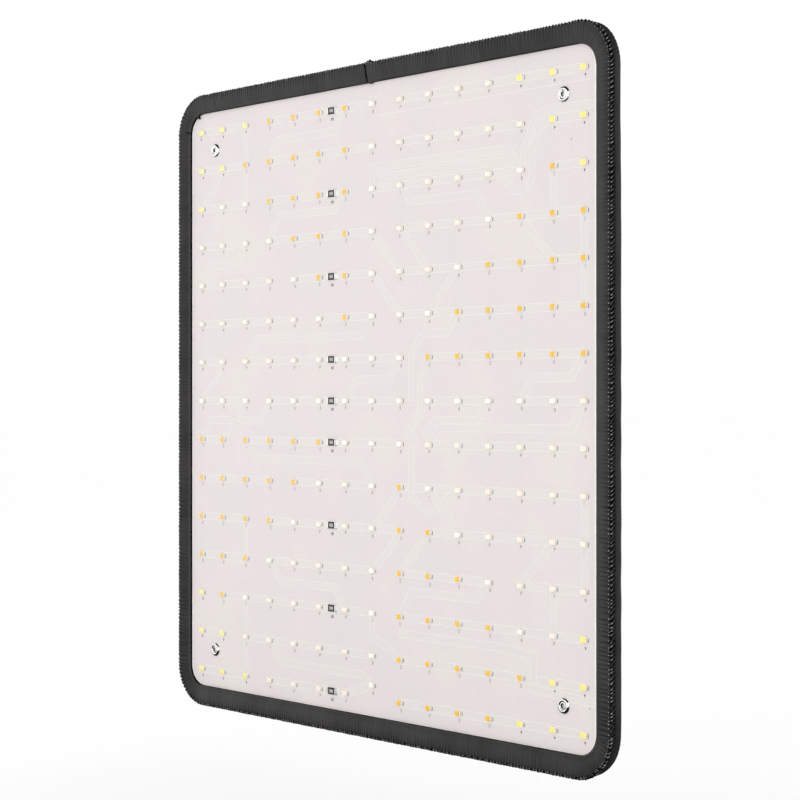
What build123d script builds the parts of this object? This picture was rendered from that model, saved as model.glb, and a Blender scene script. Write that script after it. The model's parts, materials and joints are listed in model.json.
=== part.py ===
from build123d import *

import math
import os

# Flexible LED grow-light mat: five hinged strips, corner snaps and a rear connector box.
#
# Design axes: X across the mat, Y towards its back, Z up, with zero at the middle of the mat's
# thickness and of its height. Every node is moved to the row frame when it is exported: the
# origin there is midway between the top two studs, on the plane that the studs stand on.

# ---- mat outline ----
MAT_SIZE = 318.0
MAT_CORNER_R = 20.0
STACK_SIZE = 312.0
STACK_CORNER_R = 17.0
OPENING_SIZE = 302.0
OPENING_CORNER_R = 12.0

# ---- layers, as Y positions from front to back ----
BINDING_FRONT_Y = -4.6
BOARD_FRONT_Y = -1.8
BOARD_BACK_Y = -1.5
CORE_BACK_Y = 2.2
COVER_BACK_Y = 3.0
BINDING_BACK_Y = 3.8

# ---- edge binding ----
BINDING_FRONT_FILLET = 1.2
BINDING_BACK_FILLET = 0.6
BINDING_LIP_FILLET = 1.0
GROOVE_FRONT_Y = -1.8
GROOVE_BACK_Y = 0.6
GROOVE_DEPTH = 0.9
THREAD_INSET = 1.5
THREAD_WIDTH = 0.6
THREAD_HEIGHT = 0.3

# ---- folds between the strips ----
FOLD_HEIGHTS = (90.0, 30.0, -30.0, -90.0)
FOLD_LIMIT_DEG = 60.0
FOLD_CLEARANCE = 0.3
FOLD_WEDGE_REACH = 12.0
STRIPS = ("top", "upper", "centre", "lower", "bottom")
ROWS_PER_STRIP = 3

# ---- LEDs: W cool white, O warm, R red, B blue, rows from the top ----
LED_ROWS = (
    "WWWOOOOBRRRRWWW",
    "WWOOOOOBRRRRRWW",
    "WRBOOOOBRRRRBOW",
    "RRRBOOOBRRRBOOO",
    "RRRRBOOBRRBOOOO",
    "RRRRRBOBRBOOOOO",
    "RRRRRRBBBOOOOOO",
    "BBBBBBBBBBBBBBR",
    "OOOOOOBBBRRRRRR",
    "OOOOOBRBOBRRRRR",
    "OOOOBRRBOOBRRRR",
    "OOOBRRRBOOOBRRR",
    "WOBRRRRBOOOOBRW",
    "WWRRRRRBOOOOOWW",
    "WWWRRRRBOOOOWWW",
)
WINDOW_GROUPS = {"cool white": "W", "warm": "O", "clear": "RB"}
ROW_PITCH = 20.0
ARRAY_DROP = 0.4
COLUMN_PITCH = 20.5
OUTER_COLUMN_X = 141.6
MIDDLE_COLUMN = 7
RAISED_LED = (14, 7)
RAISED_LED_LIFT = 6.0
LED_WIDTH = 3.5
LED_HEIGHT = 2.8
LED_DEPTH = 0.8
LED_CORNER_R = 0.2
WINDOW_WIDTH = 2.9
WINDOW_HEIGHT = 2.1
WINDOW_DEPTH = 0.35
WINDOW_SUNK = 0.05
WINDOW_CORNER_R = {"W": 0.35, "O": 0.8, "R": 0.6}

# ---- chip resistors ----
RESISTOR_ROWS = (0, 2, 4, 6, 7, 8, 10, 12, 14)
RESISTOR_X = -30.75
RESISTOR_LENGTH = 6.35
RESISTOR_HEIGHT = 3.2
RESISTOR_DEPTH = 0.6
RESISTOR_CORNER_R = 0.15

# ---- corner snaps ----
SNAP_PITCH = 259.0
POST_FLANGE_R = 3.4
POST_FLANGE_DEPTH = 1.0
POST_DOME_FILLET = 0.8
POST_HOLE_R = 1.0
POST_HOLE_END_Y = 2.4
POST_MOUTH_FILLET = 0.35
BARREL_R = 1.9
BARREL_END_Y = 3.4
STUD_FLANGE_R = 4.2
STUD_R = 2.4
STUD_LENGTH = 3.2
STUD_TIP_FILLET = 0.8

# ---- rear connector box ----
BOX_WIDTH = 60.0
BOX_HEIGHT = 40.0
BOX_CORNER_R = 4.0
BOX_BACK_Y = 15.4
BOX_WALL = 2.0
BOX_FLOOR = 1.6
GASKET_DEPTH = 0.6
GASKET_INSET = 0.3
LID_DEPTH = 2.0
LID_EDGE_FILLET = 0.8
SCREW_X = 25.5
SCREW_Z = 15.5
SCREW_R = 1.25
SCREW_HEAD_R = 2.3
SCREW_HEAD_DEPTH = 1.4
SCREW_HEAD_FILLET = 0.6
SCREW_SLOT_LENGTH = 2.4
SCREW_SLOT_WIDTH = 0.5
SCREW_SLOT_DEPTH = 0.7
SCREW_LENGTH = 9.0
SCREW_CLEARANCE = 0.15
BOSS_R = 3.2
LEAD_HOLE_R = 3.0
LEAD_HOLE_X = -14.0

# ---- DC inlet in the box's right-hand wall ----
INLET_Y = 10.0
INLET_BODY_R = 4.0
INLET_FLANGE_R = 5.2
INLET_FLANGE_DEPTH = 1.6
INLET_BODY_LENGTH = 11.0
INLET_BORE_R = 2.8
INLET_BORE_DEPTH = 9.5
INLET_PIN_R = 1.05
INLET_PIN_RECESS = 0.8
INLET_NUT_FLATS = 10.0
INLET_NUT_DEPTH = 2.0

# ---- terminal board inside the box ----
TERMINAL_WIDTH = 26.0
TERMINAL_HEIGHT = 20.0
TERMINAL_DEPTH = 1.2
TERMINAL_X = -8.0
TERMINAL_CORNER_R = 1.0
TERMINAL_RIB_WIDTH = 2.0
TERMINAL_RIB_DEPTH = 2.0
TERMINAL_BLOCK_SIZE = (6.0, 4.0, 7.0)
TERMINAL_BLOCK_X = 7.0
TERMINAL_BLOCK_Z = 5.0

# ---- the row frame's origin in design axes ----
STUD_PLANE_Y = BINDING_BACK_Y
ORIGIN = Pos(0, -STUD_PLANE_Y, -SNAP_PITCH / 2)


def slab(size, corner_r, front_y, back_y):
    """A square plate with rounded corners that faces -Y."""
    outline = Plane.XZ * RectangleRounded(size, size, corner_r)
    return Pos(0, front_y, 0) * extrude(outline, -(back_y - front_y))


def block(width, height, corner_r, front_y, back_y):
    """A plate with rounded corners that faces -Y, centred on the Y axis."""
    outline = Plane.XZ * RectangleRounded(width, height, corner_r)
    return Pos(0, front_y, 0) * extrude(outline, -(back_y - front_y))


def disc(radius, front_y, back_y):
    """A round bar along Y."""
    return Pos(0, (front_y + back_y) / 2, 0) * Rot(90, 0, 0) * Cylinder(radius, back_y - front_y)


def bar(radius, start_x, end_x):
    """A round bar along X."""
    return Pos((start_x + end_x) / 2, 0, 0) * Rot(0, 90, 0) * Cylinder(radius, end_x - start_x)


def strip_region(number):
    """The space that one strip may fill: its fold edges are wedges that meet at the fold limit."""
    reach = FOLD_WEDGE_REACH
    slope = math.tan(math.radians(FOLD_LIMIT_DEG / 2)) * reach
    edges = (MAT_SIZE,) + FOLD_HEIGHTS + (-MAT_SIZE,)
    high = edges[number] - FOLD_CLEARANCE
    low = edges[number + 1] + FOLD_CLEARANCE
    outline = Polygon(
        (-reach, low + slope),
        (0, low),
        (reach, low + slope),
        (reach, high - slope),
        (0, high),
        (-reach, high - slope),
        align=None,
    )
    return extrude(Plane.YZ * outline, amount=MAT_SIZE, both=True)


def snap_points():
    """The four snap centres as X and Z, top pair first."""
    half = SNAP_PITCH / 2
    return [(-half, half), (half, half), (-half, -half), (half, -half)]


def led_x(column):
    """The X position of an LED column."""
    if column == 0:
        return -OUTER_COLUMN_X
    if column == len(LED_ROWS[0]) - 1:
        return OUTER_COLUMN_X
    return (column - MIDDLE_COLUMN) * COLUMN_PITCH


def row_z(row):
    """The Z position of an LED row."""
    return (len(LED_ROWS) // 2 - row) * ROW_PITCH - ARRAY_DROP


def led_places(rows, colours):
    """Where the LEDs of the given colours sit in the given rows."""
    places = []
    for row in rows:
        for column, colour in enumerate(LED_ROWS[row]):
            if colour in colours:
                lift = RAISED_LED_LIFT if (row, column) == RAISED_LED else 0.0
                places.append((led_x(column), row_z(row) + lift))
    return places


def flex_board():
    """The white flexible circuit, with a hole for each snap."""
    board = slab(STACK_SIZE, STACK_CORNER_R, BOARD_FRONT_Y, BOARD_BACK_Y)
    for x, z in snap_points():
        board -= Pos(x, 0, z) * disc(BARREL_R, BOARD_FRONT_Y, BOARD_BACK_Y)
    return board


def core_sheet():
    """The soft core behind the board, with snap holes and the lead hole."""
    core = slab(STACK_SIZE, STACK_CORNER_R, BOARD_BACK_Y, CORE_BACK_Y)
    for x, z in snap_points():
        core -= Pos(x, 0, z) * disc(BARREL_R, BOARD_BACK_Y, CORE_BACK_Y)
    return core - Pos(LEAD_HOLE_X, 0, 0) * disc(LEAD_HOLE_R, BOARD_BACK_Y, CORE_BACK_Y)


def rear_cover():
    """The black cover sheet on the back, with snap holes and the lead hole."""
    cover = slab(STACK_SIZE, STACK_CORNER_R, CORE_BACK_Y, COVER_BACK_Y)
    for x, z in snap_points():
        cover -= Pos(x, 0, z) * disc(BARREL_R, CORE_BACK_Y, COVER_BACK_Y)
    return cover - Pos(LEAD_HOLE_X, 0, 0) * disc(LEAD_HOLE_R, CORE_BACK_Y, COVER_BACK_Y)


def edges_at(shape, y, inside, outside):
    """The edges on one Y plane whose distance from the mat's middle is in a range."""
    found = []
    for edge in shape.edges():
        box = edge.bounding_box()
        level = abs(box.min.Y - y) < 1e-4 and abs(box.max.Y - y) < 1e-4
        middle = edge @ 0.5
        reach = max(abs(middle.X), abs(middle.Z))
        if level and inside < reach < outside:
            found.append(edge)
    return found


def edge_binding():
    """The folded binding: a channel round the layers, with a gathered groove in its side."""
    ring = slab(MAT_SIZE, MAT_CORNER_R, BINDING_FRONT_Y, BINDING_BACK_Y)
    ring -= slab(OPENING_SIZE, OPENING_CORNER_R, BINDING_FRONT_Y, BINDING_BACK_Y)
    edge = MAT_SIZE / 2
    lip = OPENING_SIZE / 2
    reach = STACK_SIZE / 2 - 1
    corner = edge - MAT_CORNER_R
    ring = fillet(edges_at(ring, BINDING_FRONT_Y, reach - 1, edge + 1), BINDING_FRONT_FILLET)
    ring = fillet(edges_at(ring, BINDING_BACK_Y, reach - 1, edge + 1), BINDING_BACK_FILLET)
    ring = fillet(edges_at(ring, BINDING_FRONT_Y, corner, lip + 0.5), BINDING_LIP_FILLET)
    groove = slab(MAT_SIZE + 2, MAT_CORNER_R + 1, GROOVE_FRONT_Y, GROOVE_BACK_Y)
    groove -= slab(
        MAT_SIZE - 2 * GROOVE_DEPTH, MAT_CORNER_R - GROOVE_DEPTH, GROOVE_FRONT_Y, GROOVE_BACK_Y
    )
    return ring - groove - slab(STACK_SIZE, STACK_CORNER_R, BOARD_FRONT_Y, COVER_BACK_Y)


def binding_thread():
    """The stitching that runs round the binding's front face."""
    outer = MAT_SIZE - 2 * THREAD_INSET
    inner = outer - 2 * THREAD_WIDTH
    front = BINDING_FRONT_Y - THREAD_HEIGHT
    ring = slab(outer, MAT_CORNER_R - THREAD_INSET, front, BINDING_FRONT_Y)
    return ring - slab(inner, MAT_CORNER_R - THREAD_INSET - THREAD_WIDTH, front, BINDING_FRONT_Y)


def led_body(colour):
    """One LED package, standing on the board at the origin, with the recess for its window."""
    front = BOARD_FRONT_Y - LED_DEPTH
    body = block(LED_WIDTH, LED_HEIGHT, LED_CORNER_R, front, BOARD_FRONT_Y)
    return body - block(
        WINDOW_WIDTH, WINDOW_HEIGHT, WINDOW_CORNER_R[colour], front, front + WINDOW_DEPTH
    )


def led_window(colour):
    """One LED's light window, which fills the recess in its package."""
    front = BOARD_FRONT_Y - LED_DEPTH
    return block(
        WINDOW_WIDTH,
        WINDOW_HEIGHT,
        WINDOW_CORNER_R[colour],
        front + WINDOW_SUNK,
        front + WINDOW_DEPTH,
    )


def chip_resistor():
    """One chip resistor, standing on the board at the origin."""
    front = BOARD_FRONT_Y - RESISTOR_DEPTH
    return block(RESISTOR_LENGTH, RESISTOR_HEIGHT, RESISTOR_CORNER_R, front, BOARD_FRONT_Y)


def snap_post():
    """One front snap post: a domed ring flange and a barrel with a blind hole."""
    front = BOARD_FRONT_Y - POST_FLANGE_DEPTH
    flange = disc(POST_FLANGE_R, front, BOARD_FRONT_Y)
    rim = [edge for edge in flange.edges() if abs((edge @ 0).Y - front) < 1e-4]
    post = fillet(rim, POST_DOME_FILLET)
    post += disc(BARREL_R, BOARD_FRONT_Y, BARREL_END_Y)
    post -= disc(POST_HOLE_R, front, POST_HOLE_END_Y)
    mouth = [
        edge
        for edge in post.edges().filter_by(GeomType.CIRCLE)
        if abs((edge @ 0).Y - front) < 1e-4 and abs(edge.radius - POST_HOLE_R) < 1e-3
    ]
    return fillet(mouth, POST_MOUTH_FILLET)


def snap_stud():
    """One rear snap stud: a flange on the cover and a round stud that the bracket's socket grips."""
    end = STUD_PLANE_Y + STUD_LENGTH
    stud = disc(STUD_FLANGE_R, COVER_BACK_Y, STUD_PLANE_Y)
    stud += disc(STUD_R, STUD_PLANE_Y, end)
    tip = [edge for edge in stud.edges() if abs((edge @ 0).Y - end) < 1e-4]
    return fillet(tip, STUD_TIP_FILLET) - disc(BARREL_R, COVER_BACK_Y, BARREL_END_Y)


def at_points(shape, points):
    """Copies of a shape at X and Z points."""
    return [Pos(x, 0, z) * shape for x, z in points]


def screw_points():
    """The four lid screw centres."""
    return [(x, z) for x in (-SCREW_X, SCREW_X) for z in (-SCREW_Z, SCREW_Z)]


def box_housing():
    """The open tray on the back of the mat, with bosses, ribs and the inlet hole."""
    back = BOX_BACK_Y
    tray = block(BOX_WIDTH, BOX_HEIGHT, BOX_CORNER_R, COVER_BACK_Y, back)
    tray -= block(
        BOX_WIDTH - 2 * BOX_WALL,
        BOX_HEIGHT - 2 * BOX_WALL,
        BOX_CORNER_R - BOX_WALL,
        COVER_BACK_Y + BOX_FLOOR,
        back,
    )
    for x, z in screw_points():
        tray += Pos(x, 0, z) * disc(BOSS_R, COVER_BACK_Y, back)
    for side in (-1, 1):
        tray += Pos(
            TERMINAL_X + side * (TERMINAL_WIDTH - TERMINAL_RIB_WIDTH) / 2,
            COVER_BACK_Y + BOX_FLOOR + TERMINAL_RIB_DEPTH / 2,
            0,
        ) * Box(TERMINAL_RIB_WIDTH, TERMINAL_RIB_DEPTH, TERMINAL_HEIGHT)
    for x, z in screw_points():
        tray -= Pos(x, 0, z) * disc(SCREW_R, back - SCREW_LENGTH + LID_DEPTH + GASKET_DEPTH, back)
    tray -= Pos(0, INLET_Y, 0) * bar(INLET_BODY_R, BOX_WIDTH / 2 - BOX_WALL, BOX_WIDTH / 2)
    return tray - Pos(LEAD_HOLE_X, 0, 0) * disc(
        LEAD_HOLE_R, COVER_BACK_Y, COVER_BACK_Y + BOX_FLOOR
    )


def lid_gasket():
    """The soft ring between the housing's rim and the lid."""
    back = BOX_BACK_Y + GASKET_DEPTH
    ring = block(
        BOX_WIDTH - 2 * GASKET_INSET,
        BOX_HEIGHT - 2 * GASKET_INSET,
        BOX_CORNER_R - GASKET_INSET,
        BOX_BACK_Y,
        back,
    )
    ring -= block(
        BOX_WIDTH - 2 * BOX_WALL,
        BOX_HEIGHT - 2 * BOX_WALL,
        BOX_CORNER_R - BOX_WALL,
        BOX_BACK_Y,
        back,
    )
    for x, z in screw_points():
        ring += Pos(x, 0, z) * disc(BOSS_R, BOX_BACK_Y, back)
        ring -= Pos(x, 0, z) * disc(SCREW_R + SCREW_CLEARANCE, BOX_BACK_Y, back)
    return ring


def box_lid():
    """The lid, with a softened outer edge and four screw holes."""
    front = BOX_BACK_Y + GASKET_DEPTH
    back = front + LID_DEPTH
    lid = block(BOX_WIDTH, BOX_HEIGHT, BOX_CORNER_R, front, back)
    rim = [edge for edge in lid.edges() if abs((edge @ 0.5).Y - back) < 1e-4]
    lid = fillet(rim, LID_EDGE_FILLET)
    for x, z in screw_points():
        lid -= Pos(x, 0, z) * disc(SCREW_R + SCREW_CLEARANCE, front, back)
    return lid


def lid_screw():
    """One pan-head lid screw with a cross recess."""
    seat = BOX_BACK_Y + GASKET_DEPTH + LID_DEPTH
    top = seat + SCREW_HEAD_DEPTH
    head = disc(SCREW_HEAD_R, seat, top)
    rim = [edge for edge in head.edges() if abs((edge @ 0).Y - top) < 1e-4]
    screw = fillet(rim, SCREW_HEAD_FILLET) + disc(SCREW_R, seat - SCREW_LENGTH, seat)
    for turn in (0, 90):
        slot = Box(SCREW_SLOT_LENGTH, SCREW_SLOT_DEPTH, SCREW_SLOT_WIDTH)
        screw -= Pos(0, top - SCREW_SLOT_DEPTH / 2, 0) * Rot(0, turn, 0) * slot
    return screw


def inlet_socket():
    """The DC inlet's round body, with an outside flange and the plug's bore."""
    wall = BOX_WIDTH / 2
    mouth = wall + INLET_FLANGE_DEPTH
    body = bar(INLET_BODY_R, mouth - INLET_BODY_LENGTH, mouth)
    body += bar(INLET_FLANGE_R, wall, mouth)
    body -= bar(INLET_BORE_R, mouth - INLET_BORE_DEPTH, mouth)
    body -= bar(INLET_PIN_R, mouth - INLET_BODY_LENGTH, mouth)
    return Pos(0, INLET_Y, 0) * body


def inlet_pin():
    """The DC inlet's centre pin."""
    mouth = BOX_WIDTH / 2 + INLET_FLANGE_DEPTH
    return Pos(0, INLET_Y, 0) * bar(INLET_PIN_R, mouth - INLET_BODY_LENGTH, mouth - INLET_PIN_RECESS)


def inlet_nut():
    """The hexagon nut that holds the inlet from inside the box."""
    outer = BOX_WIDTH / 2 - BOX_WALL
    outline = Plane.YZ * RegularPolygon(INLET_NUT_FLATS / 2, 6, major_radius=False, rotation=90)
    nut = Pos(outer - INLET_NUT_DEPTH, 0, 0) * extrude(outline, INLET_NUT_DEPTH)
    nut -= bar(INLET_BODY_R, outer - INLET_NUT_DEPTH, outer)
    return Pos(0, INLET_Y, 0) * nut


def terminal_board():
    """The small board inside the box that joins the inlet to the mat."""
    front = COVER_BACK_Y + BOX_FLOOR + TERMINAL_RIB_DEPTH
    back = front + TERMINAL_DEPTH
    board = block(TERMINAL_WIDTH, TERMINAL_HEIGHT, TERMINAL_CORNER_R, front, back)
    for z in (-TERMINAL_BLOCK_Z, TERMINAL_BLOCK_Z):
        middle_y = back + TERMINAL_BLOCK_SIZE[1] / 2
        board += Pos(TERMINAL_BLOCK_X, middle_y, z) * Box(*TERMINAL_BLOCK_SIZE)
    return Pos(TERMINAL_X, 0, 0) * board


def strip_nodes(number, layers):
    """The nodes of one strip, as a map from node name to a list of solids."""
    name = STRIPS[number]
    region = strip_region(number)
    nodes = {}
    for layer, shape in layers.items():
        nodes[f"{name} {layer}"] = (shape & region).solids()
    rows = range(number * ROWS_PER_STRIP, (number + 1) * ROWS_PER_STRIP)
    bodies = []
    for group, codes in WINDOW_GROUPS.items():
        places = led_places(rows, codes)
        if places:
            bodies += at_points(led_body(codes[0]), places)
            nodes[f"{name} {group} led windows"] = at_points(led_window(codes[0]), places)
    nodes[f"{name} led packages"] = bodies
    chips = [(RESISTOR_X, row_z(row)) for row in rows if row in RESISTOR_ROWS]
    nodes[f"{name} chip resistors"] = at_points(chip_resistor(), chips)
    return nodes


def snap_nodes():
    """The corner snaps' nodes."""
    points = snap_points()
    return {
        "top snap posts": at_points(snap_post(), points[:2]),
        "top snap studs": at_points(snap_stud(), points[:2]),
        "bottom snap posts": at_points(snap_post(), points[2:]),
        "bottom snap studs": at_points(snap_stud(), points[2:]),
    }


def box_nodes():
    """The rear connector box's nodes."""
    return {
        "connector box housing": [box_housing()],
        "connector box gasket": [lid_gasket()],
        "connector box lid": [box_lid()],
        "connector box lid screws": at_points(lid_screw(), screw_points()),
        "dc inlet socket": [inlet_socket()],
        "dc inlet centre pin": [inlet_pin()],
        "dc inlet nut": [inlet_nut()],
        "terminal board": [terminal_board()],
    }


def all_nodes():
    """Every node of the part."""
    layers = {
        "flex board": flex_board(),
        "core sheet": core_sheet(),
        "rear cover": rear_cover(),
        "edge binding": edge_binding(),
        "binding stitching": binding_thread(),
    }
    nodes = {}
    for number in range(len(STRIPS)):
        nodes.update(strip_nodes(number, layers))
    nodes.update(snap_nodes())
    nodes.update(box_nodes())
    return nodes


os.makedirs("parts", exist_ok=True)
for node_name, solids in all_nodes().items():
    pieces = [solid for shape in solids for solid in shape.solids()]
    moved = [ORIGIN * piece for piece in pieces]
    shape = moved[0] if len(moved) == 1 else Compound(children=moved)
    shape.label = node_name
    export_step(shape, f"parts/{node_name.replace(' ', '_')}.step")
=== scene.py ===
import json
import math

import bmesh
import bpy
import numpy as np
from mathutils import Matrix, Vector

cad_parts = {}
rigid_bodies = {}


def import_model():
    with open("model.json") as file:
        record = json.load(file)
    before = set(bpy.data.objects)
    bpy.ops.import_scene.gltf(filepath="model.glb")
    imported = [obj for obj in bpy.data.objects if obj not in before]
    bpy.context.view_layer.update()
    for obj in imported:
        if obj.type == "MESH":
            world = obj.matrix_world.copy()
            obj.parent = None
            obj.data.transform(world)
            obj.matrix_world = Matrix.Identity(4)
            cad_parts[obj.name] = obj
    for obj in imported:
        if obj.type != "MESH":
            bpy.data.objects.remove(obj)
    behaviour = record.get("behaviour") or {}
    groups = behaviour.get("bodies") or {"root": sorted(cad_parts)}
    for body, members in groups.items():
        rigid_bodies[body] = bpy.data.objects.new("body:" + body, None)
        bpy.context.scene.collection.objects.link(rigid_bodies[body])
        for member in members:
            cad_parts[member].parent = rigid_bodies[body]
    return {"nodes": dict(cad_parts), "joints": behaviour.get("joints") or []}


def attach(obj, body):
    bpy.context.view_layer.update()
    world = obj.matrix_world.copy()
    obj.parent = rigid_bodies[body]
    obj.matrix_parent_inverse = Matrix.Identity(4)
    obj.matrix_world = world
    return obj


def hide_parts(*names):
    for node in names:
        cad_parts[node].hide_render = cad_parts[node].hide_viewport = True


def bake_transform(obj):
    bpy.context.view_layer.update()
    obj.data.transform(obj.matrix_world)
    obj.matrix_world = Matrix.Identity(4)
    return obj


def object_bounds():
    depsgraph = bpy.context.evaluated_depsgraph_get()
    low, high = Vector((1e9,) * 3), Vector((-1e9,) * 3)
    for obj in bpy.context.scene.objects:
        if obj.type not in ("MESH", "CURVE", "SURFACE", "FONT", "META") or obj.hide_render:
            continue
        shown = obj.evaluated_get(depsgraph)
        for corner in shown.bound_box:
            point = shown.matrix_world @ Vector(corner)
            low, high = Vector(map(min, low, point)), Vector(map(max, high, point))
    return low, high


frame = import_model()
CAD_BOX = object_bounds()

# ---- the frame's own places ----
MM = 0.001
FOLDS = [(j["name"], j["parent"], j["child"], j["pos_m"]) for j in frame["joints"]]
MID_Y = FOLDS[0][3][1]
MID_Z = sum(fold[3][2] for fold in FOLDS) / len(FOLDS)
STRIPS = ("top", "upper", "centre", "lower", "bottom")
STRIP_EDGES = (90.0, 30.0, -30.0, -90.0)
PIECE_CUTS = (None, 60.0, 0.0, -60.0, None)
FOLD_CUTS = range(-8, 9)

# ---- mat ----
CORNER_CENTRE = 139.0
OUTER_R = 20.0
STACK_R = 16.6
BOARD_FRONT = -1.8
BOARD_BACK = -1.5
CORE_BACK = 2.2
COVER_BACK = 3.0
WELD = 1e-6  # metres
LED_DEPTH = 0.8
SNAP = 129.5

# ---- LEDs: W cool white, O warm, R red, B blue, rows from the top ----
LED_ROWS = (
    "WWWOOOOBRRRRWWW",
    "WWOOOOOBRRRRRWW",
    "WRBOOOOBRRRRBOW",
    "RRRBOOOBRRRBOOO",
    "RRRRBOOBRRBOOOO",
    "RRRRRBOBRBOOOOO",
    "RRRRRRBBBOOOOOO",
    "BBBBBBBBBBBBBBR",
    "OOOOOOBBBRRRRRR",
    "OOOOOBRBOBRRRRR",
    "OOOOBRRBOOBRRRR",
    "OOOBRRRBOOOBRRR",
    "WOBRRRRBOOOOBRW",
    "WWRRRRRBOOOOOWW",
    "WWWRRRRBOOOOWWW",
)
COUNT = len(LED_ROWS)
MIDDLE = COUNT // 2
ROWS_PER_STRIP = 3
ROW_PITCH = 20.0
ARRAY_DROP = 0.4
COLUMN_PITCH = 20.5
OUTER_COLUMN = 141.6
RAISED_LED = (14, 7)
RAISED_LIFT = 6.0
RESISTOR_ROWS = (0, 2, 4, 6, 7, 8, 10, 12, 14)
RESISTOR_X = -30.75


def place(x, y, z):
    """A point in millimetres from the mat's middle, in the frame's metres."""
    return Vector((x * MM, MID_Y + y * MM, MID_Z + z * MM))


def column_x(column):
    """The X position of a column, which may be a fraction between two columns."""
    inner = [COLUMN_PITCH * i for i in range(1 - MIDDLE, MIDDLE)]
    stops = [-OUTER_COLUMN, *inner, OUTER_COLUMN]
    low = max(0, min(COUNT - 2, math.floor(column)))
    share = column - low
    return stops[low] * (1 - share) + stops[low + 1] * share


def row_z(row):
    """The Z position of a row, which may be a fraction between two rows."""
    return (MIDDLE - row) * ROW_PITCH - ARRAY_DROP


# ================ mesh helpers


class Build:
    """Collects points, faces, material numbers and UVs for one piece."""

    def __init__(self):
        self.points, self.faces, self.slots, self.uvs = [], [], [], []

    def add(self, points, faces, slot=0, uvs=None):
        start = len(self.points)
        self.points += [tuple(p) for p in points]
        self.faces += [tuple(start + i for i in face) for face in faces]
        self.slots += [slot] * len(faces)
        self.uvs += list(uvs) if uvs is not None else [(p[0], p[2]) for p in points]

    def mesh(self, name):
        """The mesh in frame metres, with UVs in metres."""
        mesh = bpy.data.meshes.new(name)
        co = np.array(self.points, float) * MM + np.array([0.0, MID_Y, MID_Z])
        mesh.from_pydata(co.tolist(), [], self.faces)
        mesh.polygons.foreach_set("material_index", self.slots)
        layer = mesh.uv_layers.new(name="UVMap")
        corner = np.zeros(len(mesh.loops), int)
        mesh.loops.foreach_get("vertex_index", corner)
        uv = np.array(self.uvs, float)[corner] * MM
        layer.data.foreach_set("uv", uv.ravel())
        mesh.update()
        return mesh

    def piece(self, name, materials, smooth=None):
        """An object of this mesh. smooth is the angle in degrees up to which edges shade smooth."""
        obj = bpy.data.objects.new(name, self.mesh(name))
        bpy.context.collection.objects.link(obj)
        for one in materials:
            obj.data.materials.append(one)
        if smooth is not None:
            obj.data.polygons.foreach_set("use_smooth", [True] * len(obj.data.polygons))
            obj.data.set_sharp_from_angle(angle=math.radians(smooth))
        return obj


def rounded_outline(half_width, half_height, radius, steps):
    """Points of a rounded rectangle in X and Z, anticlockwise as seen from the front."""
    points = []
    for sx, sz, start in ((1, 1, 0), (-1, 1, 90), (-1, -1, 180), (1, -1, 270)):
        for i in range(steps + 1):
            a = math.radians(start + 90 * i / steps)
            cx, cz = sx * (half_width - radius), sz * (half_height - radius)
            points.append((cx + radius * math.cos(a), cz + radius * math.sin(a)))
    return points


def outlines(steps, *rows):
    """Rounded outlines for stack(), from rows of half width, half height, corner radius and Y."""
    return [(rounded_outline(wide, tall, corner, steps), y) for wide, tall, corner, y in rows]


def add_rings(build, rings, slot=0, capped=False, uvs=None):
    """Joins rings of one point count, each to the next, and closes both ends if capped."""
    count = len(rings[0])
    faces = []
    for level in range(len(rings) - 1):
        a, b = level * count, (level + 1) * count
        faces += [(a + (i + 1) % count, b + (i + 1) % count, b + i, a + i) for i in range(count)]
    if capped:
        faces.append(tuple(reversed(range(count))))
        faces.append(tuple(range((len(rings) - 1) * count, len(rings) * count)))
    build.add(sum(rings, []), faces, slot, uvs)


def stack(build, centre, layers, slot, closed_back=False):
    """Joins outlines of one point count, each (points, y), from back to front, and caps the last."""
    cx, cz = centre
    rings = [[(cx + x, y, cz + z) for x, z in outline] for outline, y in layers]
    count = len(rings[0])
    add_rings(build, rings, slot)
    build.add(rings[-1], [tuple(range(count))], slot)
    if closed_back:
        build.add(rings[0], [tuple(reversed(range(count)))], slot)


def cut_mesh(bm, level, side=1, clear=False):
    """Cuts a mesh through at one height, and gives the open edges that this leaves."""
    geometry = bm.verts[:] + bm.edges[:] + bm.faces[:]
    cut = bmesh.ops.bisect_plane(
        bm, geom=geometry, plane_co=place(0, 0, level), plane_no=(0, 0, side), clear_outer=clear
    )
    return [e for e in cut["geom_cut"] if isinstance(e, bmesh.types.BMEdge) and e.is_boundary]


def fold_piece(source, number, name):
    """The part of a whole-mat mesh that bends at one fold, cut through so that it can bend."""
    obj = source.copy()
    obj.data = source.data.copy()
    obj.name = obj.data.name = name
    bpy.context.collection.objects.link(obj)
    bm = bmesh.new()
    bm.from_mesh(obj.data)
    bmesh.ops.remove_doubles(bm, verts=bm.verts[:], dist=WELD)
    for level, side in ((PIECE_CUTS[number], 1), (PIECE_CUTS[number + 1], -1)):
        if level is not None:
            bmesh.ops.holes_fill(bm, edges=cut_mesh(bm, level, side, clear=True))
    for step in FOLD_CUTS:
        cut_mesh(bm, STRIP_EDGES[number] + step)
    bm.to_mesh(obj.data)
    bm.free()
    return obj


def bend(obj):
    """Bakes a piece's placement into its mesh; it does not bend it."""
    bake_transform(obj)


def fold_strips(number):
    """The strips whose layers a bending piece stands for."""
    _, parent, child, _ = FOLDS[number]
    return [child, parent] if number == 0 else [child]


def fold_all(source, stem, nodes):
    """Splits a whole-mat mesh into its four bending pieces, which stand for one layer's nodes."""
    made = []
    for number, (_, parent, child, _) in enumerate(FOLDS):
        obj = fold_piece(source, number, f"{stem}_{parent}_{child}")
        bend(obj)
        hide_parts(*[f"{strip}_{nodes}" for strip in fold_strips(number)])
        made.append(obj)
    bpy.data.objects.remove(source)
    return made


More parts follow.
